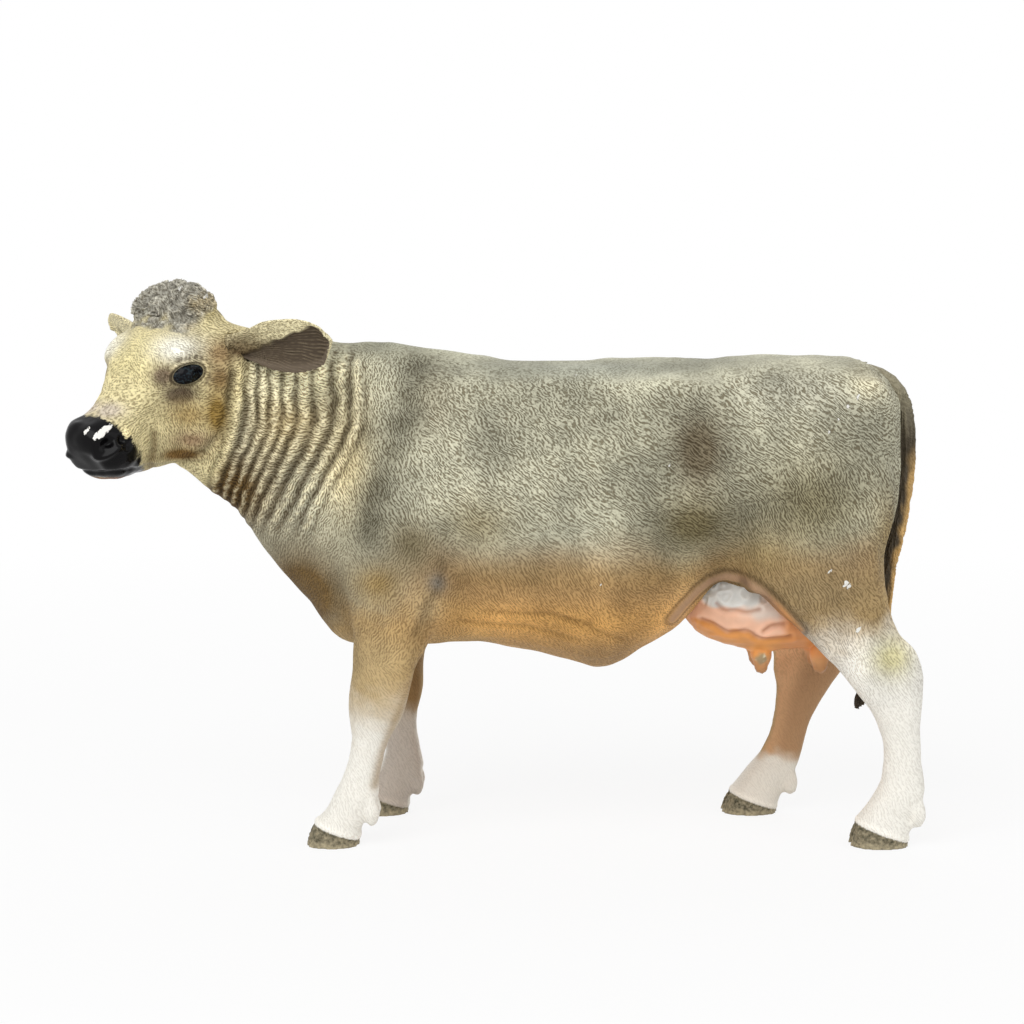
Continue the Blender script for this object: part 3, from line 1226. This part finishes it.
def make_udder(sizes, colours):
    """The udder with its four teats."""
    piece = joined_nodes("udder_skin", (("udder", (0, 0, 0)),))
    reskinned(piece, 0.2)
    relaxed(piece, 12)
    points = places_of(piece)
    points[:, 2] += TEAT_LIFT * ramp(30.5, 24.5, points[:, 2])
    put_points(piece.data, from_mm(points))
    rise = carved(piece, udder_relief(sizes))
    points = places_of(piece)
    dressed(piece, udder_paint(points, colours), rise * 0.5, np.zeros(len(points)), points)
    finished(piece, udder_material(), "painted_udder", "udder")


# The middle of the tail, by its height and its place along.
TAIL_LINE = ((19, 21.7, 25.8, 30.8, 35.9, 42.0, 47.5, 55.6, 61.6, 66.9, 70.4, 72.5),
             (54.5, 55.6, 57.0, 58.0, 58.5, 59.2, 60.3, 61.4, 61.5, 60.8, 58.7, 54.0))


def tail_relief(sizes):
    """Strands of hair along the tail, looser in its switch."""
    def relief(points, normals):
        strands = waver(points * (1.8, 1.8, 0.20), 1.5, 81)
        rise = sizes.strand_height / MM * (0.5 - 1.4 * np.abs(np.sin(2.3 * strands)))
        return rise * ramp(71.5, 68.0, points[:, 2]) * (1 + 0.5 * ramp(34, 26, points[:, 2]))
    return relief


def tail_paint(points, colours):
    """Brown grey, with ochre along its rear edge lower down and a dark switch."""
    x, _, z = points.T
    aside = x - np.interp(z, *TAIL_LINE)
    colour = over(coat(points, colours.tail), linear("#968f78"), ramp(60, 71.0, z))
    edge = ramp(-0.2, 0.9, aside + 0.3 * waver(points, 2.0, 82)) * ramp(62, 55, z)
    colour = over(colour, linear("#dcb578"), edge * 0.95)
    return over(colour, linear("#3b342b"), ramp(29, 25, z) * 0.9)


def make_tail(sizes, colours):
    """The hanging tail and its switch."""
    piece = joined_nodes("tail_skin", (("tail", (0, 0, 0)),))
    reskinned(piece, 0.16)
    relaxed(piece, 8)
    rise = carved(piece, tail_relief(sizes))
    points = places_of(piece)
    dressed(piece, tail_paint(points, colours), rise * 1.5, np.full(len(points), 0.35),
            comb_places(points, False))
    finished(piece, hide_material(sizes, colours), "painted_hide", "tail")


def make_core(colours):
    """The hidden core keeps its shape from the frame and gets its plastic."""
    core = frame["nodes"]["body_core"]
    core.data.materials.clear()
    core.data.materials.append(core_material(colours))


# The camera's place, tilt and lens, and the lamps: place, size and power.
CAMERA_PLACE = (0, -330, 82.8)
CAMERA_TILT = 5.62
CAMERA_LENS = 74.25
LAMPS = (
    ("key", (-250, -420, 520), 0.5, 2.6),
    ("fill", (420, -380, 260), 0.6, 0.8),
    ("back", (100, 500, 500), 0.6, 1.0),
)


def paper_material(colours):
    """Matt studio paper. The camera sees it nearly white, and its shadows stay."""
    material, tree, diffuse = new_material("matt_studio_paper")
    diffuse.inputs["Base Color"].default_value = (*colours.paper, 1)
    diffuse.inputs["Roughness"].default_value = 1.0
    diffuse.inputs["Specular IOR Level"].default_value = 0.0
    white = add_node(tree, "ShaderNodeEmission", Color=(1, 1, 1, 1), Strength=1.0)
    place = add_node(tree, "ShaderNodeTexCoord").outputs["Object"]
    away = add_node(tree, "ShaderNodeVectorMath", {"operation": 'LENGTH'}, _0=place)
    share = add_node(tree, "ShaderNodeMapRange", Value=away.outputs["Value"], From_Min=0.08,
                     From_Max=0.40, To_Min=0.86, To_Max=1.0)
    share = add_node(tree, "ShaderNodeMath", {"operation": 'MULTIPLY'},
                     _0=backdrop_rays(tree), _1=share.outputs[0])
    both = add_node(tree, "ShaderNodeMixShader", Fac=share.outputs[0], _1=diffuse.outputs[0],
                    _2=white.outputs[0])
    tree.links.new(both.outputs[0], tree.nodes["Material Output"].inputs["Surface"])
    return material


def backdrop_rays(tree):
    """1 for rays that see the backdrop: the camera's, and those by way of gloss or glass."""
    ray = add_node(tree, "ShaderNodeLightPath")
    share = ray.outputs["Is Camera Ray"]
    for kind in ("Is Glossy Ray", "Is Transmission Ray"):
        share = add_node(tree, "ShaderNodeMath", {"operation": 'MAXIMUM'}, _0=share,
                         _1=ray.outputs[kind]).outputs[0]
    return share


def make_stage(colours):
    """The pale floor, the soft lamps, the white world and the camera."""
    bm = bmesh.new()
    bmesh.ops.create_circle(bm, cap_ends=True, segments=96, radius=4.0)
    floor = linked("floor", bm)
    floor.data.materials.append(paper_material(colours))
    camera = bpy.data.objects.new("camera", bpy.data.cameras.new("camera"))
    bpy.context.scene.collection.objects.link(camera)
    camera.data.sensor_width = 36
    camera.data.lens = CAMERA_LENS
    camera.data.clip_start = 0.01
    camera.location = from_mm(CAMERA_PLACE)
    camera.rotation_euler = (math.radians(90 - CAMERA_TILT), 0, 0)
    bpy.context.scene.camera = camera
    for name, place, size, power in LAMPS:
        lamp = bpy.data.objects.new(name, bpy.data.lights.new(name, 'AREA'))
        bpy.context.scene.collection.objects.link(lamp)
        lamp.location = from_mm(place)
        lamp.data.size = size
        lamp.data.energy = power
        aim = Vector(from_mm((0, 0, 45))) - lamp.location
        lamp.rotation_euler = aim.to_track_quat('-Z', 'Y').to_euler()
    world = bpy.data.worlds.new("studio")
    bpy.context.scene.world = world
    world.use_nodes = True
    tree = world.node_tree
    light = tree.nodes["Background"]
    light.inputs["Color"].default_value = (1, 1, 1, 1)
    light.inputs["Strength"].default_value = 0.45
    seen = add_node(tree, "ShaderNodeBackground", Color=(1, 1, 1, 1), Strength=1.0)
    both = add_node(tree, "ShaderNodeMixShader", Fac=backdrop_rays(tree), _1=light.outputs[0],
                    _2=seen.outputs[0])
    tree.links.new(both.outputs[0], tree.nodes["World Output"].inputs["Surface"])
    bpy.context.scene.view_settings.view_transform = 'Standard'


class COW_OT_body(bpy.types.Operator):
    """Make the two halves of the hide, with neck folds, legs and hooves"""
    bl_idname = "cow.body"
    bl_label = "Body halves"

    def execute(self, context):
        make_body(context.scene.cow_sizes, context.scene.cow_colours)
        return {'FINISHED'}


class COW_OT_head(bpy.types.Operator):
    """Make the head with its curls, eyes and muzzle"""
    bl_idname = "cow.head"
    bl_label = "Head"

    def execute(self, context):
        make_head(context.scene.cow_sizes, context.scene.cow_colours)
        return {'FINISHED'}


class COW_OT_ears(bpy.types.Operator):
    """Make both ears with their hollows"""
    bl_idname = "cow.ears"
    bl_label = "Ears"

    def execute(self, context):
        for name in EAR_WAYS:
            make_ear(name, context.scene.cow_sizes, context.scene.cow_colours)
        return {'FINISHED'}


class COW_OT_udder(bpy.types.Operator):
    """Make the udder and its teats"""
    bl_idname = "cow.udder"
    bl_label = "Udder"

    def execute(self, context):
        make_udder(context.scene.cow_sizes, context.scene.cow_colours)
        return {'FINISHED'}


class COW_OT_tail(bpy.types.Operator):
    """Make the hanging tail"""
    bl_idname = "cow.tail"
    bl_label = "Tail"

    def execute(self, context):
        make_tail(context.scene.cow_sizes, context.scene.cow_colours)
        return {'FINISHED'}


class COW_OT_core(bpy.types.Operator):
    """Give the hidden core its plastic"""
    bl_idname = "cow.core"
    bl_label = "Core"

    def execute(self, context):
        make_core(context.scene.cow_colours)
        return {'FINISHED'}


class COW_OT_stage(bpy.types.Operator):
    """Set up the floor, the lamps, the world and the camera"""
    bl_idname = "cow.stage"
    bl_label = "Stage"

    def execute(self, context):
        make_stage(context.scene.cow_colours)
        return {'FINISHED'}


class COW_PT_pieces(bpy.types.Panel):
    """The pieces of the cow and what they are made with"""
    bl_label = "Milk cow"
    bl_idname = "COW_PT_pieces"
    bl_space_type = 'VIEW_3D'
    bl_region_type = 'UI'
    bl_category = "Cow"

    def draw(self, context):
        for operator in OPERATORS:
            self.layout.operator(operator.bl_idname)
        for group in (context.scene.cow_sizes, context.scene.cow_colours):
            for name in group.__annotations__:
                self.layout.prop(group, name)


OPERATORS = (COW_OT_body, COW_OT_head, COW_OT_ears, COW_OT_udder, COW_OT_tail, COW_OT_core,
             COW_OT_stage)
CLASSES = (CowSizes, CowColours, *OPERATORS, COW_PT_pieces)


def register():
    """Adds the classes and their settings to Blender."""
    for each in CLASSES:
        bpy.utils.register_class(each)
    bpy.types.Scene.cow_sizes = bpy.props.PointerProperty(type=CowSizes)
    bpy.types.Scene.cow_colours = bpy.props.PointerProperty(type=CowColours)


def unregister():
    """Takes the classes and their settings out again."""
    del bpy.types.Scene.cow_colours
    del bpy.types.Scene.cow_sizes
    for each in reversed(CLASSES):
        bpy.utils.unregister_class(each)


def main():
    """Makes every piece and the stage."""
    register()
    bpy.ops.cow.body()
    bpy.ops.cow.head()
    bpy.ops.cow.ears()
    bpy.ops.cow.udder()
    bpy.ops.cow.tail()
    bpy.ops.cow.core()
    bpy.ops.cow.stage()


if __name__ == "__main__":
    main()
